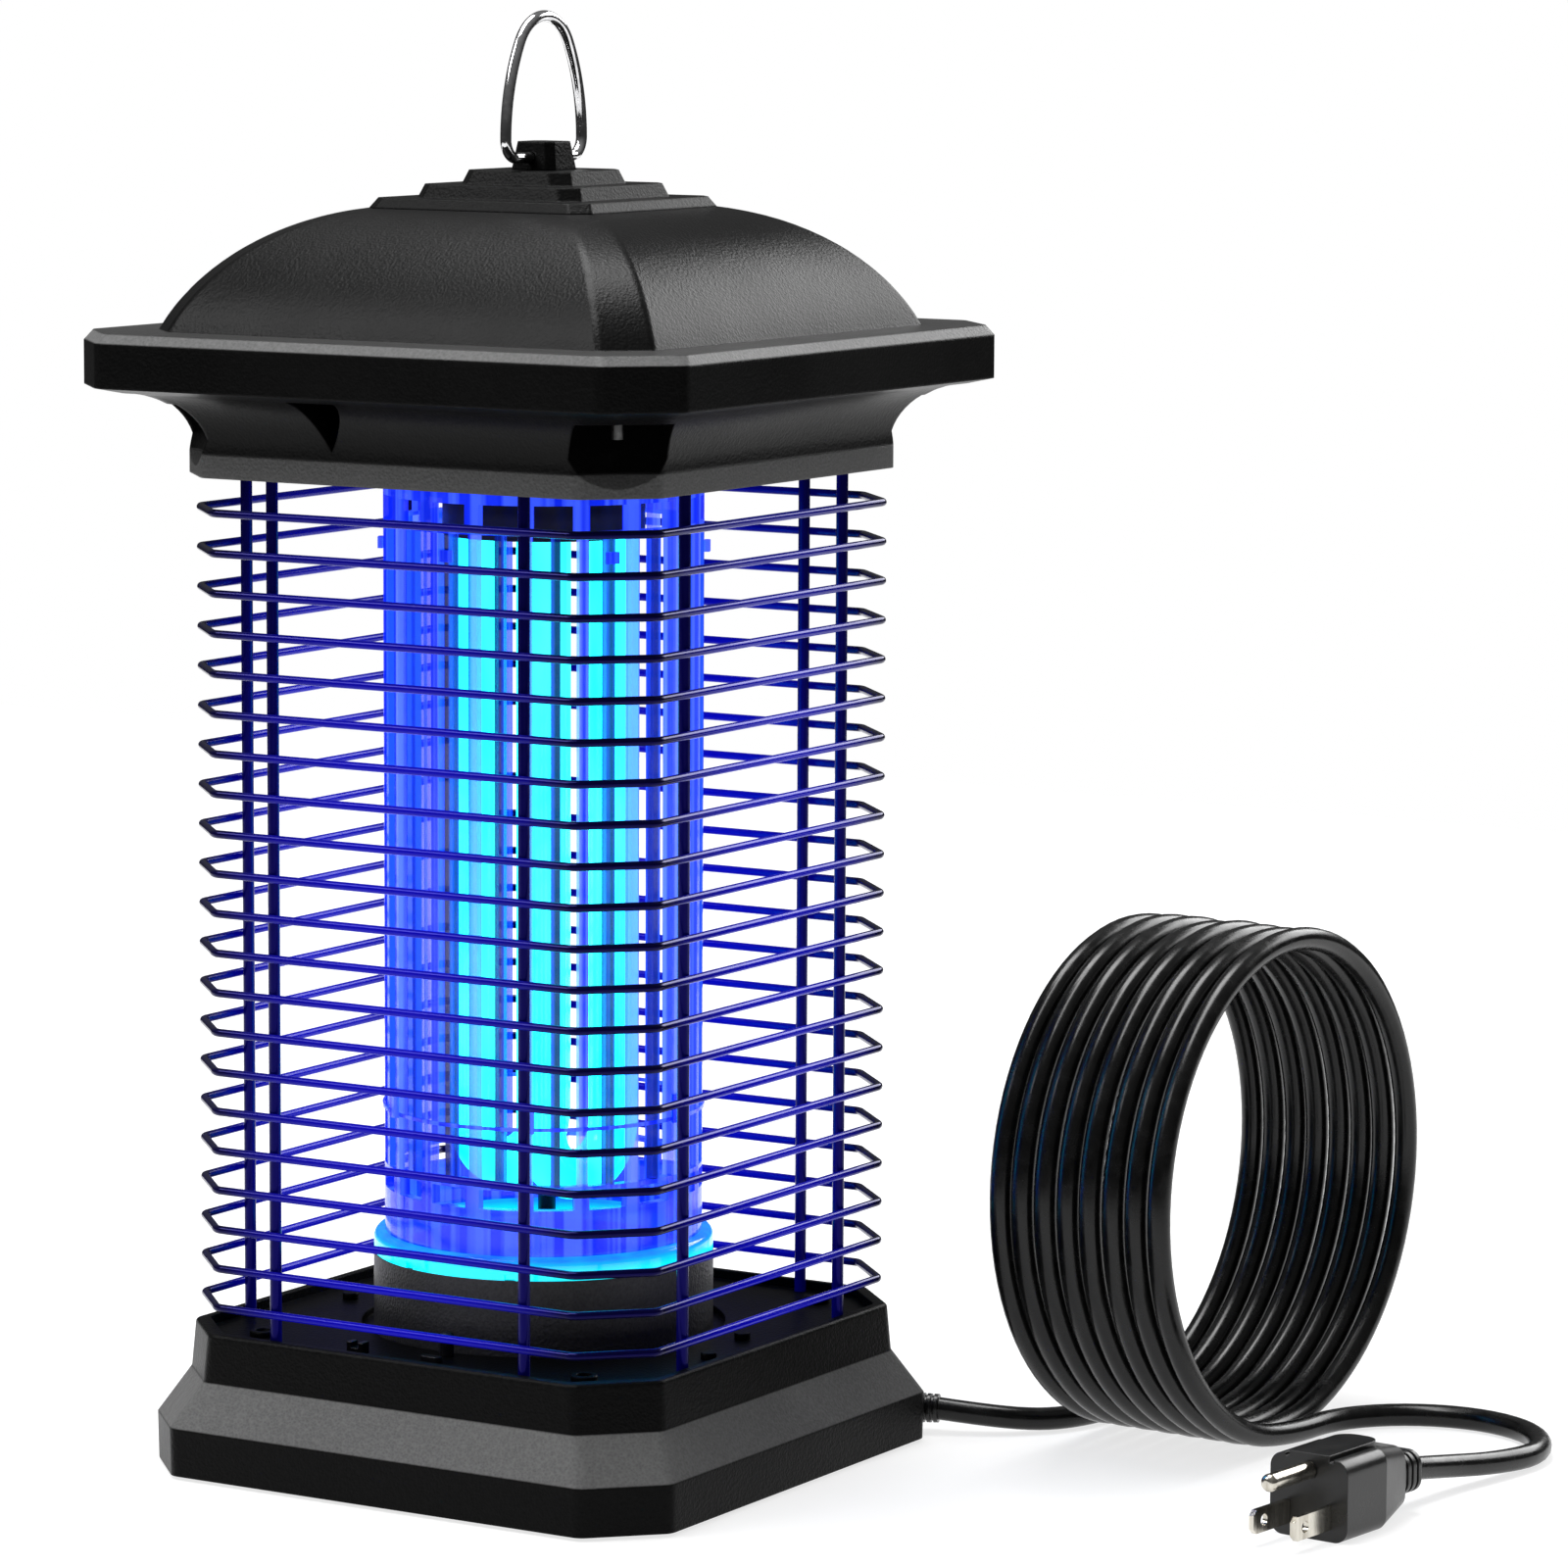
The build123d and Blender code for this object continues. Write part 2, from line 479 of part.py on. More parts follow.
def hood_roof():
    outer = loft(cove_sections())
    outer += taper((COVE_HALF, COLLAR_CUT, COVE_TOP), (RIM_HALF, RIM_CUT, RIM_BOTTOM))
    outer += prism(RIM_HALF, RIM_CUT, RIM_BOTTOM, RIM_TOP)
    outer += taper((RIM_HALF, RIM_CUT, RIM_TOP), (BEVEL_HALF, RIM_CUT, BEVEL_TOP))
    outer += loft(dome_sections(DOME_RADIUS, BEVEL_TOP))
    inside = prism(COLLAR_HALF - WALL, COLLAR_CUT, COLLAR_TOP, COVE_TOP - 2)
    rim_inside = RIM_HALF - RIM_WALL
    inside += taper((COLLAR_HALF - WALL, COLLAR_CUT, COVE_TOP - 2),
                    (rim_inside, RIM_CUT, RIM_BOTTOM + WALL))
    inside += prism(rim_inside, RIM_CUT, RIM_BOTTOM + WALL, RIM_TOP - 2)
    inside += loft(dome_sections(DOME_RADIUS - WALL, RIM_TOP - 2))
    for k in range(4):
        inside -= turned(90 * k) * scoop(WALL, SCOOP_CEILING + WALL)
    roof = outer - inside
    for k in range(4):
        roof -= turned(90 * k) * scoop(0, SCOOP_CEILING)
    return roof - cove_notch()


def cove_notch():
    """A V-shaped notch under the rim of the front side."""
    corners = (NOTCH_LEFT, NOTCH_TOP), (NOTCH_TIP_X, NOTCH_TIP_Z), (NOTCH_RIGHT, NOTCH_TOP)
    outline = Polygon(*corners, align=None)
    return Plane.XZ.offset(COLLAR_HALF - WALL - 1) * extrude(outline, 30)


def hood_collar():
    collar = prism(COLLAR_HALF, COLLAR_CUT, COLLAR_BOTTOM, COLLAR_TOP)
    collar -= prism(COLLAR_HALF - WALL, COLLAR_CUT, COLLAR_FLOOR, COLLAR_TOP)
    collar -= rod(0, 0, GRID_OUT + 0.15, COLLAR_BOTTOM, COLLAR_TOP)
    for x, y in post_places():
        collar -= rod(x, y, POST_SOCKET, COLLAR_BOTTOM, POST_TOP)
    for k in range(4):
        collar -= turned(90 * k) * scoop(0, SCOOP_CEILING)
    return collar


def hood_screws():
    screws = []
    reach = HOOD_SCREW_OUT / math.sqrt(2)
    for x, y in CORNERS:
        low = SCOOP_CEILING - HOOD_SCREW_DROP
        screw = rod(reach * x, reach * y, HOOD_SCREW_RADIUS, low, SCOOP_CEILING)
        screws.append(screw - brick(reach * x, reach * y, low, *HOOD_SCREW_SLOT))
    return group(screws)


def hood_neck():
    """Three shrinking tiers on the dome."""
    low = DOME_CENTRE_Z + DOME_RADIUS * math.sin(math.radians(DOME_END_ANGLE))
    neck = None
    for bottom_half, top_half, high in TIERS:
        tier = taper((bottom_half, TIER_CUT, low), (top_half, TIER_CUT, high), 1.2)
        neck = tier if neck is None else neck + tier
        low = high
    return neck


def hanger_block():
    low = TIERS[-1][2]
    block = taper((BLOCK_BOTTOM_HALF, BLOCK_CUT, low), (BLOCK_TOP_HALF, BLOCK_CUT, BLOCK_TOP), 0.6)
    bore = Plane(origin=(0, -20, RING_PIVOT_Z), z_dir=(0, 1, 0))
    return block - bore * Cylinder(RING_BORE, 40, align=ON_BASE)


def hanging_ring():
    """A wire bail: two ends in the block's bore, tight lower bends and a tall arch of three arcs."""
    low = RING_PIVOT_Z + RING_BEND
    top_centre = RING_TOP - RING_TOP_RADIUS
    rise = top_centre - low
    side_radius = (RING_HALF ** 2 + rise ** 2 - RING_TOP_RADIUS ** 2) / (2 * (RING_HALF - RING_TOP_RADIUS))
    meet = math.degrees(math.atan2(rise, side_radius - RING_HALF))
    foot = RING_HALF - RING_BEND
    path = Line((RING_END, RING_PIVOT_Z), (foot, RING_PIVOT_Z))
    path += CenterArc((foot, low), RING_BEND, -90, 90)
    path += CenterArc((RING_HALF - side_radius, low), side_radius, 0, meet)
    path += CenterArc((0, top_centre), RING_TOP_RADIUS, meet, 180 - 2 * meet)
    path += CenterArc((side_radius - RING_HALF, low), side_radius, 180 - meet, meet)
    path += CenterArc((-foot, low), RING_BEND, 180, 90)
    path += Line((-foot, RING_PIVOT_Z), (-RING_END, RING_PIVOT_Z))
    upright = Plane.YZ * path
    start = Plane(origin=(0, RING_END, RING_PIVOT_Z), z_dir=(0, 1, 0))
    return sweep(start * Circle(RING_WIRE / 2), upright)


def circuit_board():
    board = brick(0, 0, BOARD_BOTTOM, BOARD_LONG, BOARD_WIDE, BOARD_THICK)
    for x, y in placed(BOARD_FIXING):
        board -= rod(x, y, BOARD_HOLE, BOARD_BOTTOM, BOARD_TOP)
    return board


def board_pillars():
    return group([rod(x, y, BOARD_PILLAR, COLLAR_FLOOR, BOARD_BOTTOM) for x, y in placed(BOARD_FIXING)])


def transformer():
    former = brick(*COIL_PLACE, BOARD_TOP, *COIL_FORMER)
    return former + brick(*COIL_PLACE, BOARD_TOP + CORE_LIFT, *COIL_CORE)


def capacitors():
    x, y = CAPACITOR_PLACE
    can = rod(x, y, CAPACITOR_RADIUS, BOARD_TOP, CAPACITOR_TOP)
    return group([Pos(CAPACITOR_PITCH * k, 0, 0) * can for k in range(3)])


# ------------------------------------------------------------------ cord and plug

def corner_radii(points):
    """For each corner of a route, 0.45 of its shorter run over the tangent of half its turn."""
    places = [Vector(*p) for p in points]
    radii = []
    for before, here, after in zip(places, places[1:], places[2:]):
        run_in, run_out = here - before, after - here
        half_turn = math.radians(run_in.get_angle(run_out)) / 2
        radii.append(0.45 * min(run_in.length, run_out.length) / math.tan(half_turn))
    return radii


def cord_tube(name, points):
    radii = corner_radii(points)
    path = FilletPolyline(*points, radius=radii)
    start = Plane(origin=path @ 0, z_dir=path % 0)
    tube = sweep(start * Circle(CORD_RADIUS), path)
    expected = math.pi * CORD_RADIUS ** 2 * path.length
    print(name, "length", round(path.length, 1), "radii", [round(r, 1) for r in radii],
          "volume share", round(tube.volume / expected, 4))
    return tube


def cord_coil():
    """The outer shape of the wound length, standing on its edge."""
    back, front = Vector(*COIL_BACK, COIL_RADIUS), Vector(*COIL_FRONT, COIL_RADIUS)
    along = Vector(1, 0, 0).rotate(Axis.Z, COIL_TURN)
    length = (front - back).length + CORD
    plane = Plane(origin=(back + front) * 0.5, z_dir=along)
    return plane * (Cylinder(COIL_RADIUS, length) - Cylinder(COIL_RADIUS - CORD, length))


def plug_plane():
    """At the plug's back end, pointing towards the blades, level."""
    end, before = Vector(*TAIL_POINTS[-1]), Vector(*TAIL_POINTS[-2])
    heading = Vector(end.X - before.X, end.Y - before.Y, 0).normalized()
    origin = Vector(end.X, end.Y, PLUG_THICK / 2) - heading * PLUG_OVER_CORD
    across = heading.cross(Vector(0, 0, 1))
    return Plane(origin=origin, x_dir=across, z_dir=heading)


def plug_section(width, thick, along):
    return Plane.XY.offset(along) * RectangleRounded(width, thick, PLUG_ROUND)


def plug_relief():
    """The flat strain relief behind the plug: ribs, with two rows of short slots on each wide face."""
    relief = extrude(plug_section(PLUG_RELIEF_WIDE, PLUG_RELIEF_THICK, 0), PLUG_RELIEF)
    core_wide, core_thick = PLUG_RELIEF_WIDE - 2 * GROOVE_DEEP, PLUG_RELIEF_THICK - GROOVE_DEEP
    core = extrude(plug_section(core_wide, core_thick, 0), PLUG_RELIEF)
    for k in range(GROOVE_COUNT):
        along = GROOVE_FIRST + GROOVE_PITCH * k
        relief -= Pos(0, 0, along) * Box(2 * PLUG_RELIEF_WIDE, 2 * PLUG_RELIEF_THICK, GROOVE_WIDE) - core
        for x, y in placed((SLOT_OUT, (PLUG_RELIEF_THICK - SLOT_DEEP) / 2)):
            relief -= Pos(x, y, along) * Box(SLOT_WIDE, SLOT_DEEP, GROOVE_WIDE)
    return relief


def plug_pad(face):
    """The round-ended raised pad over the earth pin, and the groove beside it."""
    plane = Plane.XZ.offset(PLUG_THICK / 2 - PAD_PROUD)
    keep = Pos(0, 0, face / 2) * Box(2 * PLUG_WIDTH, 2 * PLUG_THICK, face)
    inner = Pos(0, face) * RectangleRounded(PAD_WIDE, 2 * PAD_LONG, PAD_ROUND)
    outer = Pos(0, face) * RectangleRounded(
        PAD_WIDE + 2 * PAD_GROOVE, 2 * (PAD_LONG + PAD_GROOVE), PAD_ROUND + PAD_GROOVE)
    pad = extrude(plane * inner, 2 * PAD_PROUD) & keep
    groove = extrude(plane * (outer - inner), 2 * PAD_PROUD) & keep
    return pad, groove


def plug_body():
    taper_end = PLUG_RELIEF + PLUG_LENGTH - PLUG_STRAIGHT
    face = PLUG_RELIEF + PLUG_LENGTH
    neck = plug_section(PLUG_NECK, PLUG_NECK, PLUG_RELIEF)
    wide = plug_section(PLUG_WIDTH, PLUG_THICK, taper_end)
    body = loft([neck, wide])
    body += extrude(wide, face - taper_end)
    body += plug_relief()
    pad, groove = plug_pad(face)
    body = body - groove + pad
    middle = face - CONTACT_DEEP / 2
    holes = Pos(0, -PIN_DOWN, middle) * Cylinder(PIN_ROOT, CONTACT_DEEP)
    for side in (-1, 1):
        holes += Pos(side * BLADE_APART / 2, BLADE_UP, middle) * Box(BLADE_THICK, BLADE_WIDE, CONTACT_DEEP)
    return plug_plane() * (body - holes)


def plug_blades():
    face = PLUG_RELIEF + PLUG_LENGTH
    blades = []
    for side in (-1, 1):
        blade = Pos(side * BLADE_APART / 2, BLADE_UP, face - CONTACT_DEEP) * Box(
            BLADE_THICK, BLADE_WIDE, BLADE_LONG + CONTACT_DEEP, align=ON_BASE)
        tip = blade.edges().group_by(Axis.Z)[-1].filter_by(Axis.X)
        blade = chamfer(tip, BLADE_TIP)
        eye = Pos(side * BLADE_APART / 2, BLADE_UP, face + BLADE_LONG - BLADE_EYE_BACK)
        blade -= eye * Rot(0, 90, 0) * Cylinder(BLADE_EYE, 2 * BLADE_THICK)
        blades.append(plug_plane() * blade)
    return group(blades)


def plug_ground_pin():
    """The round earth pin, thinner where it enters the moulding."""
    face = PLUG_RELIEF + PLUG_LENGTH
    pin = rod(0, -PIN_DOWN, PIN_RADIUS, face + PIN_ROOT_PROUD, face + PIN_LONG)
    pin = fillet(pin.edges().group_by(Axis.Z)[-1], PIN_ROUND)
    pin += rod(0, -PIN_DOWN, PIN_ROOT, face - CONTACT_DEEP, face + PIN_ROOT_PROUD)
    return plug_plane() * pin


def build():
    nodes = {
        "base_shell": base_shell(),
        "base_deck": base_deck(),
        "deck_bosses": deck_bosses(),
        "cup_lock": cup_lock(),
        "base_bottom_plate": base_bottom_plate(),
        "base_screws": base_screws(),
        "rubber_feet": rubber_feet(),
        "collection_tray": collection_tray(),
        "terminal_block": terminal_block(),
        "cord_gland": cord_gland(),
        "guard_posts": guard_posts(),
        "grid_top_band": windowed_band(BAR_HIGH, TOP_BAND_TOP, TOP_WINDOW),
        "grid_low_band": windowed_band(LOW_BAND_BOTTOM, BAR_LOW, LOW_WINDOW),
        "grid_bars_live": grid_bars(0),
        "grid_bars_ground": grid_bars(1),
        "grid_lugs_low": tie_lugs(LOW_LUG, 0),
        "grid_lugs_high": tie_lugs(HIGH_LUG, 30),
        "grid_tie_ring": grid_tie_ring(),
        "grid_skirt": grid_skirt(),
        "flange_ring": flange_ring(),
        "lamp_cup": lamp_cup(),
        "lamp_holder": lamp_holder(),
        "lead_conduit": conduit(),
        "hood_collar": hood_collar(),
        "hood_roof": hood_roof(),
        "hood_screws": hood_screws(),
        "hood_neck": hood_neck(),
        "hanger_block": hanger_block(),
        "hanging_ring": hanging_ring(),
        "circuit_board": circuit_board(),
        "board_pillars": board_pillars(),
        "transformer": transformer(),
        "capacitors": capacitors(),
        "cord_lead": cord_tube("cord_lead", LEAD_POINTS),
        "cord_coil": cord_coil(),
        "cord_tail": cord_tube("cord_tail", TAIL_POINTS),
        "plug_body": plug_body(),
        "plug_blades": plug_blades(),
        "plug_ground_pin": plug_ground_pin(),
    }
    for k, side in enumerate(("front", "right", "back", "left")):
        nodes[f"guard_side_{side}"] = guard_side(90 * k)
        nodes[f"guard_corner_{k + 1}"] = guard_corner(90 * k)
    for k in range(2):
        nodes[f"lamp_tube_{k + 1}"] = lamp_tube(TUBE_TURN + 45 + 180 * k)
    return nodes


os.makedirs("parts", exist_ok=True)
for node_name, shape in build().items():
    export_step(shape, f"parts/{node_name}.step")
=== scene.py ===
import json
import math

import bpy
from mathutils import Matrix, Vector


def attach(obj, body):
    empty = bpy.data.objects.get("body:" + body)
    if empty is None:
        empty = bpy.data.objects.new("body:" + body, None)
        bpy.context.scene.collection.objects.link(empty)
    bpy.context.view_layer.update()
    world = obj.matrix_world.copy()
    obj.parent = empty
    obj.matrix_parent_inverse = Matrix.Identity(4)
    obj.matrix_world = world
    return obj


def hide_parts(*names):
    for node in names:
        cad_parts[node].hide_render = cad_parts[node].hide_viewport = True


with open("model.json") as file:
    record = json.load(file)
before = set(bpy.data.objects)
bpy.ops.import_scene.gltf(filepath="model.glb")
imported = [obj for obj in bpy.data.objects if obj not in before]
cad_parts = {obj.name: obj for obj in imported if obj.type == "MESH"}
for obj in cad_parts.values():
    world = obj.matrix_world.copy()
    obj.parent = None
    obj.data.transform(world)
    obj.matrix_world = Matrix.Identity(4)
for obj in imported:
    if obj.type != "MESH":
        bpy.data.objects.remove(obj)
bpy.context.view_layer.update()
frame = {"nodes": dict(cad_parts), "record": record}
nodes = frame["nodes"]
scene = bpy.context.scene

# Camera, in metres
CAMERA_AT = Vector((0.9886, -1.5022, 0.4198))
CAMERA_FORWARD = Vector((-0.5147, 0.8477, -0.1292)).normalized()
CAMERA_LENS, CAMERA_SENSOR = 152.8, 36.0
CAMERA_ROLL = math.radians(-0.28)

# Bands of painted highlight on the black mouldings' upward-facing slope and bevel facets, in metres up from
# the floor
BASE_SLOPE = (0.0140, 0.0264)
RIM_BEVEL = (0.3071, 0.3099)
BAND_BLUR = 0.0004
# Greys of the painted highlight on those facets
PAINTED_FACET_HIGHLIGHT = (0.075, 0.075, 0.075), (0.13, 0.13, 0.13)

# Heights between which the lit ring turns from cyan to blue
RING_FADE = (0.0592, 0.0622)

# How fast the tint changes from bar to bar of the grid
BAR_TINT_SCALE = 210

# Floor and light
FLOOR_HALF, FLOOR_GLOW = 1.3, 0.75
SKY_LOW, SKY_HIGH = 0.04, 0.25

# Mains cord, in metres: the same route as its CAD tube, and the turns between its two ends
CORD_DIAMETER = 0.0064
CORD_RADIUS = CORD_DIAMETER / 2
LEAD_POINTS = [
    (0.0805, 0.0785, 0.0066), (0.0946, 0.0835, 0.0051), (0.1058, 0.0935, 0.0035), (0.1125, 0.1069, 0.0034),
]
TAIL_POINTS = [
    (0.1731, 0.1402, 0.00325), (0.1879, 0.1571, 0.0032), (0.2099, 0.1616, 0.00325),
    (0.2302, 0.1519, 0.0032), (0.2405, 0.1319, 0.0033), (0.2366, 0.1097, 0.0044),
    (0.2308, 0.0864, 0.0074), (0.2283, 0.0625, 0.0110),
]
COIL_BACK, COIL_FRONT = Vector((0.1135, 0.1219, 0)), Vector((0.1715, 0.1178, 0))
COIL_OUTER_RADIUS = 0.072
COIL_TURNS, COIL_POINTS_PER_TURN = 8, 18
COIL_WAVER = 0.0004


# ------------------------------------------------------------------ shader helpers

def new_material(name):
    material = bpy.data.materials.new(name)
    material.use_nodes = True
    tree = material.node_tree
    return material, tree, tree.nodes["Principled BSDF"]


def add(tree, kind, **settings):
    """A node with its plain properties and its unlinked inputs set."""
    node = tree.nodes.new(kind)
    for key, value in settings.items():
        if hasattr(node, key):
            setattr(node, key, value)
        else:
            node.inputs[key.replace("_", " ")].default_value = value
    return node


def object_place(tree):
    return add(tree, "ShaderNodeTexCoord").outputs["Object"]


def stretched(tree, source, scale):
    mapping = add(tree, "ShaderNodeMapping")
    mapping.inputs["Scale"].default_value = scale
    tree.links.new(source, mapping.inputs["Vector"])
    return mapping.outputs["Vector"]


def noise(tree, source, scale, detail=3.0, roughness=0.55):
    node = add(tree, "ShaderNodeTexNoise", Scale=scale, Detail=detail, Roughness=roughness)
    tree.links.new(source, node.inputs["Vector"])
    return node.outputs["Fac"]


def cells(tree, source, scale):
    node = add(tree, "ShaderNodeTexVoronoi", feature="SMOOTH_F1", Scale=scale, Smoothness=0.6)
    tree.links.new(source, node.inputs["Vector"])
    return node.outputs["Distance"]


def spread(tree, value, low, high, to_low, to_high):
    node = add(tree, "ShaderNodeMapRange")
    for name, number in (("From Min", low), ("From Max", high), ("To Min", to_low), ("To Max", to_high)):
        node.inputs[name].default_value = number
    tree.links.new(value, node.inputs["Value"])
    return node.outputs["Result"]


def two_colours(tree, value, first, second):
    node = add(tree, "ShaderNodeMix", data_type="RGBA")
    node.inputs["A"].default_value = (*first, 1)
    node.inputs["B"].default_value = (*second, 1)
    tree.links.new(value, node.inputs["Factor"])
    return node.outputs["Result"]


def combine(tree, operation, first, second):
    node = add(tree, "ShaderNodeMath", operation=operation)
    for socket, value in zip(node.inputs, (first, second)):
        if isinstance(value, (int, float)):
            socket.default_value = value
        else:
            tree.links.new(value, socket)
    return node.outputs["Value"]


def bump(tree, shader, height, strength, distance):
    node = add(tree, "ShaderNodeBump", Strength=strength, Distance=distance)
    tree.links.new(height, node.inputs["Height"])
    tree.links.new(node.outputs["Normal"], shader.inputs["Normal"])


# ------------------------------------------------------------------ materials

def soft_edges(tree, shader, height, strength, distance, radius):
    """Bump over edges rounded by radius."""
    edge = add(tree, "ShaderNodeBevel", samples=4, Radius=radius)
    node = add(tree, "ShaderNodeBump", Strength=strength, Distance=distance)
    tree.links.new(edge.outputs["Normal"], node.inputs["Normal"])
    tree.links.new(height, node.inputs["Height"])
    tree.links.new(node.outputs["Normal"], shader.inputs["Normal"])


def grained_plastic(name, dark, light, roughness, strength, specular, edge=0.0008, highlight_band=None):
    """Moulded plastic with a fine leather grain, with a painted highlight (lighter colour) on its grain
    crests and on its band of upward-facing facets, if any.
    """
    material, tree, shader = new_material(name)
    place = object_place(tree)
    pebbles = cells(tree, place, 1300)
    creases = noise(tree, place, 760, 4.0, 0.62)
    height = combine(tree, "ADD", combine(tree, "MULTIPLY", pebbles, 0.7), creases)
    cloud = noise(tree, place, 14, 3.0)
    # Painted highlight: grain crests lighter than the hollows between them
    crest_highlight = combine(tree, "MULTIPLY", height, 0.5)
    shade = combine(tree, "ADD", crest_highlight, combine(tree, "MULTIPLY", cloud, 0.35))
    tint = two_colours(tree, spread(tree, shade, 0.3, 0.75, 0, 1), dark, light)
    # Painted highlight: the band of upward-facing facets is lighter, as if lit from above
    if highlight_band:
        split = add(tree, "ShaderNodeSeparateXYZ")
        tree.links.new(place, split.inputs["Vector"])
        low, high = highlight_band
        above = spread(tree, split.outputs["Z"], low, low + BAND_BLUR, 0, 1)
        below = spread(tree, split.outputs["Z"], high - BAND_BLUR, high, 1, 0)
        mix = add(tree, "ShaderNodeMix", data_type="RGBA")
        tree.links.new(combine(tree, "MULTIPLY", above, below), mix.inputs["Factor"])
        tree.links.new(tint, mix.inputs["A"])
        tree.links.new(two_colours(tree, spread(tree, shade, 0.3, 0.75, 0, 1), *PAINTED_FACET_HIGHLIGHT), mix.inputs["B"])
        tint = mix.outputs["Result"]
    tree.links.new(tint, shader.inputs["Base Color"])
    tree.links.new(
        spread(tree, cloud, 0.3, 0.7, roughness - 0.05, roughness + 0.05), shader.inputs["Roughness"])
    soft_edges(tree, shader, height, strength, 0.0004, edge)
    shader.inputs["Specular IOR Level"].default_value = specular
    return material


def smooth_plastic(name, dark, light, roughness, specular=0.4):
    material, tree, shader = new_material(name)
    place = object_place(tree)
    cloud = noise(tree, place, 60, 4.0)
    fine = noise(tree, place, 900, 2.0)
    tree.links.new(
        two_colours(tree, spread(tree, cloud, 0.35, 0.7, 0, 1), dark, light), shader.inputs["Base Color"])
    tree.links.new(
        spread(tree, cloud, 0.3, 0.7, roughness - 0.04, roughness + 0.08), shader.inputs["Roughness"])
    soft_edges(tree, shader, fine, 0.12, 0.0002, 0.0005)
    shader.inputs["Specular IOR Level"].default_value = specular
    return material


def coated_wire(name, near_from, near_to, glow):
    """Glossy blue coating with painted lamp light: a painted glow and lighter blue where it passes near the
    lamp, painted shade at the corners and under the hood.
    """
    material, tree, shader = new_material(name)
    place = object_place(tree)
    split = add(tree, "ShaderNodeSeparateXYZ")
    tree.links.new(place, split.inputs["Vector"])
    x, y, z = (split.outputs[axis] for axis in "XYZ")
    squared = combine(tree, "ADD", combine(tree, "MULTIPLY", x, x), combine(tree, "MULTIPLY", y, y))
    near = spread(tree, combine(tree, "SQRT", squared, 0), near_from, near_to, 1.0, 0.0)
    # Painted shade under the hood
    hood_shade = spread(tree, z, 0.2, 0.268, 1.0, 0.35)
    lit = combine(tree, "MULTIPLY", near, hood_shade)
    cloud = combine(tree, "MULTIPLY", noise(tree, place, 35, 3.0), 0.3)
    # Painted light and shade: lighter blue near the lamp, dark navy at the corners and under the hood
    tree.links.new(
        two_colours(tree, combine(tree, "ADD", lit, cloud), (0.0015, 0.001, 0.01), (0.003, 0.0015, 0.12)),
        shader.inputs["Base Color"])
    tree.links.new(spread(tree, cloud, 0.1, 0.2, 0.14, 0.22), shader.inputs["Roughness"])
    bump(tree, shader, noise(tree, place, 700, 2.0), 0.06, 0.0002)
    shader.inputs["Specular IOR Level"].default_value = 0.45
    shader.inputs["Specular Tint"].default_value = (0.12, 0.1, 0.8, 1)
    # Painted glow of the lamp's light, strongest near the lamp
    shader.inputs["Emission Color"].default_value = (0.001, 0.001, glow, 1)
    tree.links.new(lit, shader.inputs["Emission Strength"])
    return material


def lit_blue(name, deep, pale, alpha, glow):
    """Clear plastic with the lamp behind it, lit by a painted glow of the lamp's light; every bar round the
    lamp has its own tint.
    """
    material, tree, shader = new_material(name)
    place = object_place(tree)
    bars = add(tree, "ShaderNodeTexNoise", Scale=BAR_TINT_SCALE, Detail=2.0, Roughness=0.7)
    tree.links.new(stretched(tree, place, (1, 1, 0.004)), bars.inputs["Vector"])
    tint = two_colours(tree, spread(tree, bars.outputs["Fac"], 0.44, 0.56, 0, 1), deep, pale)
    tree.links.new(tint, shader.inputs["Base Color"])
    # Painted glow: emission in the bar's tint stands in for lamp light shining through the plastic
    tree.links.new(tint, shader.inputs["Emission Color"])
    cloud = noise(tree, stretched(tree, place, (1, 1, 0.12)), 45, 3.0)
    tree.links.new(spread(tree, cloud, 0.3, 0.7, 0.08, 0.2), shader.inputs["Roughness"])
    tree.links.new(
        spread(tree, cloud, 0.3, 0.7, glow * 0.8, glow * 1.2), shader.inputs["Emission Strength"])
    bump(tree, shader, noise(tree, place, 500, 2.0), 0.05, 0.0002)
    shader.inputs["Alpha"].default_value = alpha
    shader.inputs["IOR"].default_value = 1.46
    return material


def glowing(name, core, edge, strength, fade=None):
    """A lit surface whose glow drifts along its length; fade is two heights that its tint changes between."""
    material, tree, shader = new_material(name)
    place = object_place(tree)
    drift = noise(tree, stretched(tree, place, (1, 1, 0.25)), 60, 2.0)
    blend = spread(tree, drift, 0.3, 0.7, 0, 1)
    if fade:
        split = add(tree, "ShaderNodeSeparateXYZ")
        tree.links.new(place, split.inputs["Vector"])
        rise = spread(tree, split.outputs["Z"], *fade, 0, 1)
        blend = combine(tree, "MULTIPLY", spread(tree, drift, 0.3, 0.7, 0.7, 1), rise)
    tint = two_colours(tree, blend, core, edge)
    tree.links.new(tint, shader.inputs["Base Color"])
    tree.links.new(tint, shader.inputs["Emission Color"])
    tree.links.new(
        spread(tree, drift, 0.3, 0.7, strength, strength * 0.8), shader.inputs["Emission Strength"])
    shader.inputs["Roughness"].default_value = 0.12
    return material


def metal(name, dark, light, roughness, brushed=(1, 1, 1)):
    material, tree, shader = new_material(name)
    place = object_place(tree)
    marks = noise(tree, stretched(tree, place, brushed), 420, 3.0)
    tree.links.new(
        two_colours(tree, spread(tree, marks, 0.35, 0.7, 0, 1), dark, light), shader.inputs["Base Color"])
    tree.links.new(spread(tree, marks, 0.3, 0.7, roughness, roughness + 0.1), shader.inputs["Roughness"])
    bump(tree, shader, marks, 0.06, 0.0001)
    shader.inputs["Metallic"].default_value = 1.0
    return material


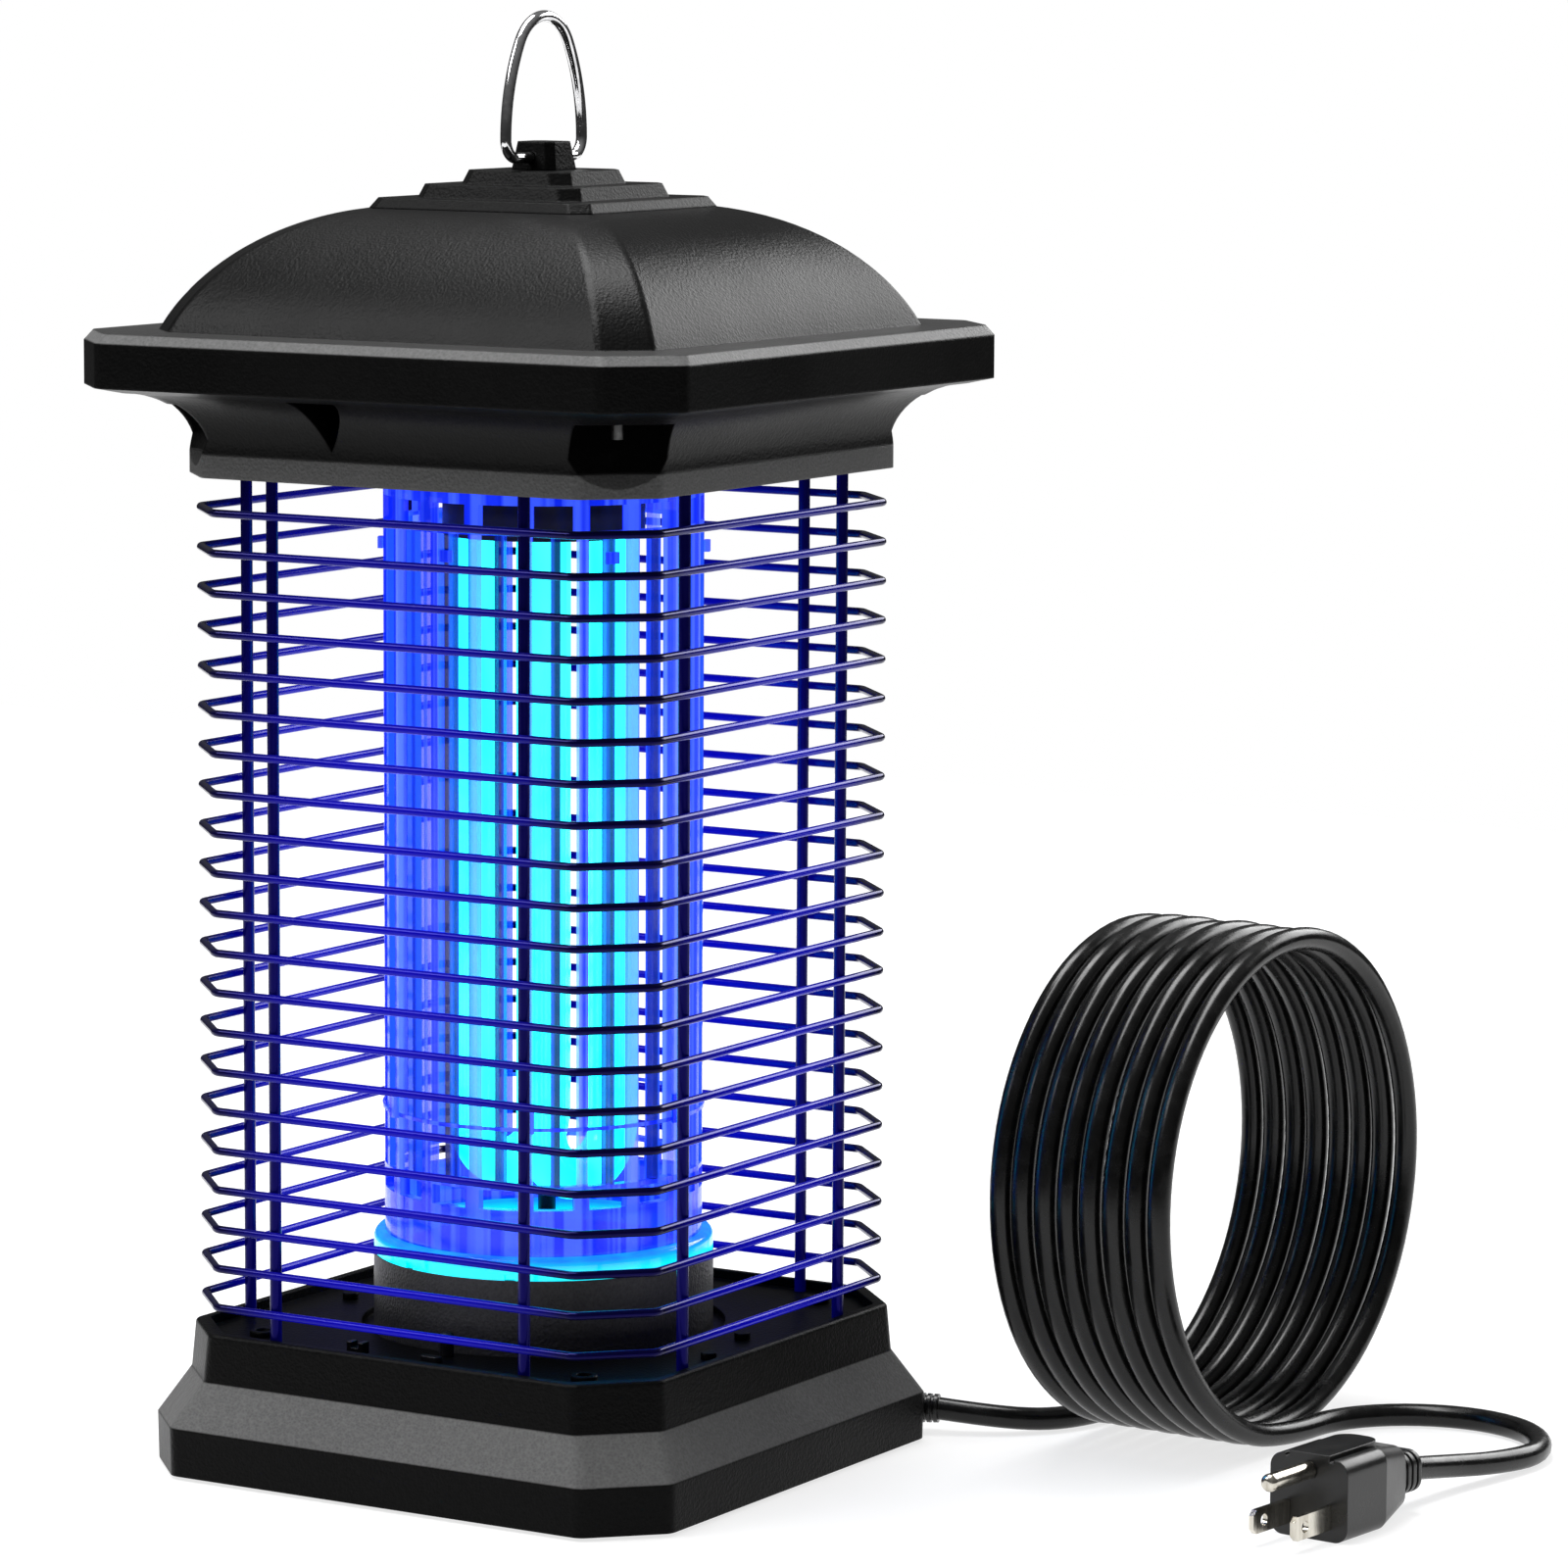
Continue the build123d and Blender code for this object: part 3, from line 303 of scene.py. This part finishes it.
def jacket(name):
    """Black cord jacket, glossy, with faint scuffs."""
    material, tree, shader = new_material(name)
    place = object_place(tree)
    scuffs = noise(tree, place, 220, 4.0)
    tree.links.new(
        two_colours(
            tree, spread(tree, scuffs, 0.4, 0.8, 0, 1), (0.002, 0.002, 0.002), (0.006, 0.006, 0.006)),
        shader.inputs["Base Color"])
    tree.links.new(spread(tree, scuffs, 0.3, 0.7, 0.2, 0.3), shader.inputs["Roughness"])
    bump(tree, shader, noise(tree, place, 1400, 2.0), 0.06, 0.0002)
    shader.inputs["Specular IOR Level"].default_value = 0.3
    return material


BLACK, CHARCOAL = (0.0012, 0.0012, 0.0012), (0.0035, 0.0035, 0.0035)
SOFT_BLACK, SOFT_GREY = (0.055, 0.055, 0.055), (0.09, 0.09, 0.09)
GRID_BLUE = lit_blue("grid_clear_blue", (0.003, 0.02, 0.7), (0.05, 0.12, 1.0), 0.85, 0.7)
MATERIALS = {
    "black_plastic": grained_plastic("black_grain", BLACK, CHARCOAL, 0.36, 0.22, 0.06),
    "tray_plastic": grained_plastic("tray_grain", BLACK, (0.012, 0.012, 0.012), 0.5, 0.3, 0.3),
    "guard_steel": coated_wire("guard_coating", 0.072, 0.092, 0.34),
    "grid_blue": GRID_BLUE,
    "glow_ring": glowing("ring_glow", (0.0, 0.85, 1.0), (0.01, 0.12, 1.0), 1.0, RING_FADE),
    "lamp_glass": glowing("tube_glow", (0.0, 0.9, 1.0), (0.05, 1.0, 1.0), 2.0),
    "dark_fitting": smooth_plastic("dark_fitting", (0.003, 0.003, 0.004), (0.008, 0.008, 0.009), 0.3),
    "chrome_wire": metal("chrome", (0.6, 0.6, 0.61), (0.85, 0.85, 0.86), 0.04),
    "steel_screw": metal("zinc", (0.1, 0.1, 0.1), (0.22, 0.22, 0.22), 0.35),
    "foot_rubber": smooth_plastic("rubber", (0.01, 0.01, 0.01), (0.02, 0.02, 0.02), 0.75, 0.2),
    "board": smooth_plastic("board", (0.02, 0.12, 0.04), (0.04, 0.2, 0.07), 0.4),
    "components": smooth_plastic("component", (0.03, 0.03, 0.035), (0.08, 0.08, 0.085), 0.4),
    "cord_jacket": jacket("jacket"),
    "plug_moulding": smooth_plastic("plug_moulding", (0.003, 0.003, 0.003), (0.009, 0.009, 0.009), 0.28),
    "plug_brass": metal("plug_metal", (0.45, 0.42, 0.36), (0.75, 0.72, 0.64), 0.16, (1, 1, 0.1)),
}
SPECIAL = {
    "base_shell": grained_plastic("base_grain", BLACK, CHARCOAL, 0.36, 0.3, 0.06, highlight_band=BASE_SLOPE),
    "hood_roof": grained_plastic("hood_grain", BLACK, CHARCOAL, 0.34, 0.2, 0.08, highlight_band=RIM_BEVEL),
    "hood_collar": grained_plastic("collar_grain", SOFT_BLACK, SOFT_GREY, 0.5, 0.35, 0.3),
    "lamp_cup": grained_plastic("cup_grain", (0.02, 0.02, 0.02), (0.045, 0.045, 0.045), 0.42, 0.5, 0.4),
    "grid_bars_live": lit_blue("live_bars", (0.002, 0.02, 0.75), (0.16, 0.26, 1.0), 0.6, 0.75),
    "grid_bars_ground": lit_blue("ground_bars", (0.001, 0.006, 0.12), (0.02, 0.1, 0.95), 0.8, 0.65),
    "guard_posts": coated_wire("post_coating", 0.074, 0.084, 0.1),
    "grid_lugs_high": GRID_BLUE,
    "grid_lugs_low": GRID_BLUE,
}


def dress_nodes():
    for part in frame["record"]["subparts"]:
        node = nodes[part["node"]]
        node.data.materials.clear()
        node.data.materials.append(SPECIAL.get(part["node"], MATERIALS[part["material_slot"]]))


# ------------------------------------------------------------------ cord

def coil_points():
    """The turns, wound from the back of the coil to its front, starting and ending on the floor."""
    across = (COIL_FRONT - COIL_BACK).normalized()
    sideways = Vector((-across.y, across.x, 0))
    inward = math.cos(math.pi / COIL_POINTS_PER_TURN)
    radius = COIL_OUTER_RADIUS - CORD_RADIUS
    count = COIL_TURNS * COIL_POINTS_PER_TURN
    points = []
    for k in range(count + 1):
        angle = 2 * math.pi * k / COIL_POINTS_PER_TURN
        waver = COIL_WAVER * math.sin(0.37 * angle) * (1 - math.cos(angle)) / 2
        centre = COIL_BACK.lerp(COIL_FRONT, k / count) + Vector((0, 0, COIL_OUTER_RADIUS))
        reach = (radius - waver) / inward
        place = centre + sideways * math.sin(angle) * reach - Vector((0, 0, math.cos(angle) * reach))
        if k in (0, count):
            place.z = CORD_RADIUS
        points.append(place)
    return points


def make_cord():
    curve = bpy.data.curves.new("mains_cord", "CURVE")
    curve.dimensions = "3D"
    curve.bevel_depth = CORD_RADIUS
    curve.bevel_resolution = 6
    curve.resolution_u = 5
    curve.use_fill_caps = True
    spline = curve.splines.new("NURBS")
    route = [Vector(p) for p in LEAD_POINTS] + coil_points() + [Vector(p) for p in TAIL_POINTS]
    spline.points.add(len(route) - 1)
    for point, place in zip(spline.points, route):
        point.co = (*place, 1)
    spline.order_u = 3
    spline.use_endpoint_u = True
    cord = bpy.data.objects.new("mains_cord", curve)
    scene.collection.objects.link(cord)
    curve.materials.append(MATERIALS["cord_jacket"])
    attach(cord, "housing")
    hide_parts("cord_lead", "cord_coil", "cord_tail")
    return cord


# ------------------------------------------------------------------ camera, floor, light

def make_camera():
    data = bpy.data.cameras.new("camera")
    data.lens = CAMERA_LENS
    data.sensor_width = CAMERA_SENSOR
    camera = bpy.data.objects.new("camera", data)
    right = CAMERA_FORWARD.cross(Vector((0, 0, 1))).normalized()
    up = right.cross(CAMERA_FORWARD)
    turn = Matrix.Rotation(CAMERA_ROLL, 3, CAMERA_FORWARD)
    axes = Matrix((turn @ right, turn @ up, -CAMERA_FORWARD)).transposed()
    camera.matrix_world = Matrix.Translation(CAMERA_AT) @ axes.to_4x4()
    scene.collection.objects.link(camera)
    scene.camera = camera


def make_floor():
    mesh = bpy.data.meshes.new("floor")
    mesh.from_pydata(
        [(-FLOOR_HALF, -FLOOR_HALF, 0), (FLOOR_HALF, -FLOOR_HALF, 0), (FLOOR_HALF, FLOOR_HALF, 0),
         (-FLOOR_HALF, FLOOR_HALF, 0)], [], [(0, 1, 2, 3)])
    floor = bpy.data.objects.new("floor", mesh)
    scene.collection.objects.link(floor)
    material, tree, shader = new_material("floor_paper")
    grain = noise(tree, object_place(tree), 30, 2.0)
    tree.links.new(
        two_colours(tree, grain, (0.27, 0.27, 0.27), (0.3, 0.3, 0.3)), shader.inputs["Base Color"])
    shader.inputs["Roughness"].default_value = 0.9
    shader.inputs["Specular IOR Level"].default_value = 0.1
    shader.inputs["Emission Color"].default_value = (1, 1, 1, 1)
    shader.inputs["Emission Strength"].default_value = FLOOR_GLOW
    mesh.materials.append(material)


def area_light(name, place, target, size, power):
    data = bpy.data.lights.new(name, "AREA")
    data.shape = "RECTANGLE"
    data.size, data.size_y = size
    data.energy = power
    light = bpy.data.objects.new(name, data)
    light.location = place
    light.rotation_euler = (Vector(target) - Vector(place)).to_track_quat("-Z", "Y").to_euler()
    scene.collection.objects.link(light)


def make_world():
    """White where the camera looks past the floor; as light, a soft sky that is brightest overhead."""
    world = bpy.data.worlds.new("studio")
    world.use_nodes = True
    tree = world.node_tree
    soft = tree.nodes["Background"]
    split = add(tree, "ShaderNodeSeparateXYZ")
    tree.links.new(add(tree, "ShaderNodeTexCoord").outputs["Generated"], split.inputs["Vector"])
    tree.links.new(spread(tree, split.outputs["Z"], 0.0, 0.9, SKY_LOW, SKY_HIGH), soft.inputs["Strength"])
    soft.inputs["Color"].default_value = (1, 1, 1, 1)
    white = add(tree, "ShaderNodeBackground", Color=(1, 1, 1, 1), Strength=1.0)
    mix = add(tree, "ShaderNodeMixShader")
    tree.links.new(add(tree, "ShaderNodeLightPath").outputs["Is Camera Ray"], mix.inputs["Fac"])
    tree.links.new(soft.outputs["Background"], mix.inputs[1])
    tree.links.new(white.outputs["Background"], mix.inputs[2])
    tree.links.new(mix.outputs["Shader"], tree.nodes["World Output"].inputs["Surface"])
    scene.world = world


def make_lights():
    middle = (0, 0, 0.2)
    area_light("overhead", (-0.3, 0.0, 2.0), middle, (1.7, 1.1), 70)
    area_light("front_left", (-1.3, -1.4, 1.85), middle, (1.0, 0.8), 26)
    area_light("back_right", (0.6, 2.1, 1.25), middle, (1.6, 0.9), 32)
    scene.view_settings.view_transform = "Standard"
    scene.view_settings.look = "None"


make_camera()
make_cord()
dress_nodes()
make_floor()
make_world()
make_lights()
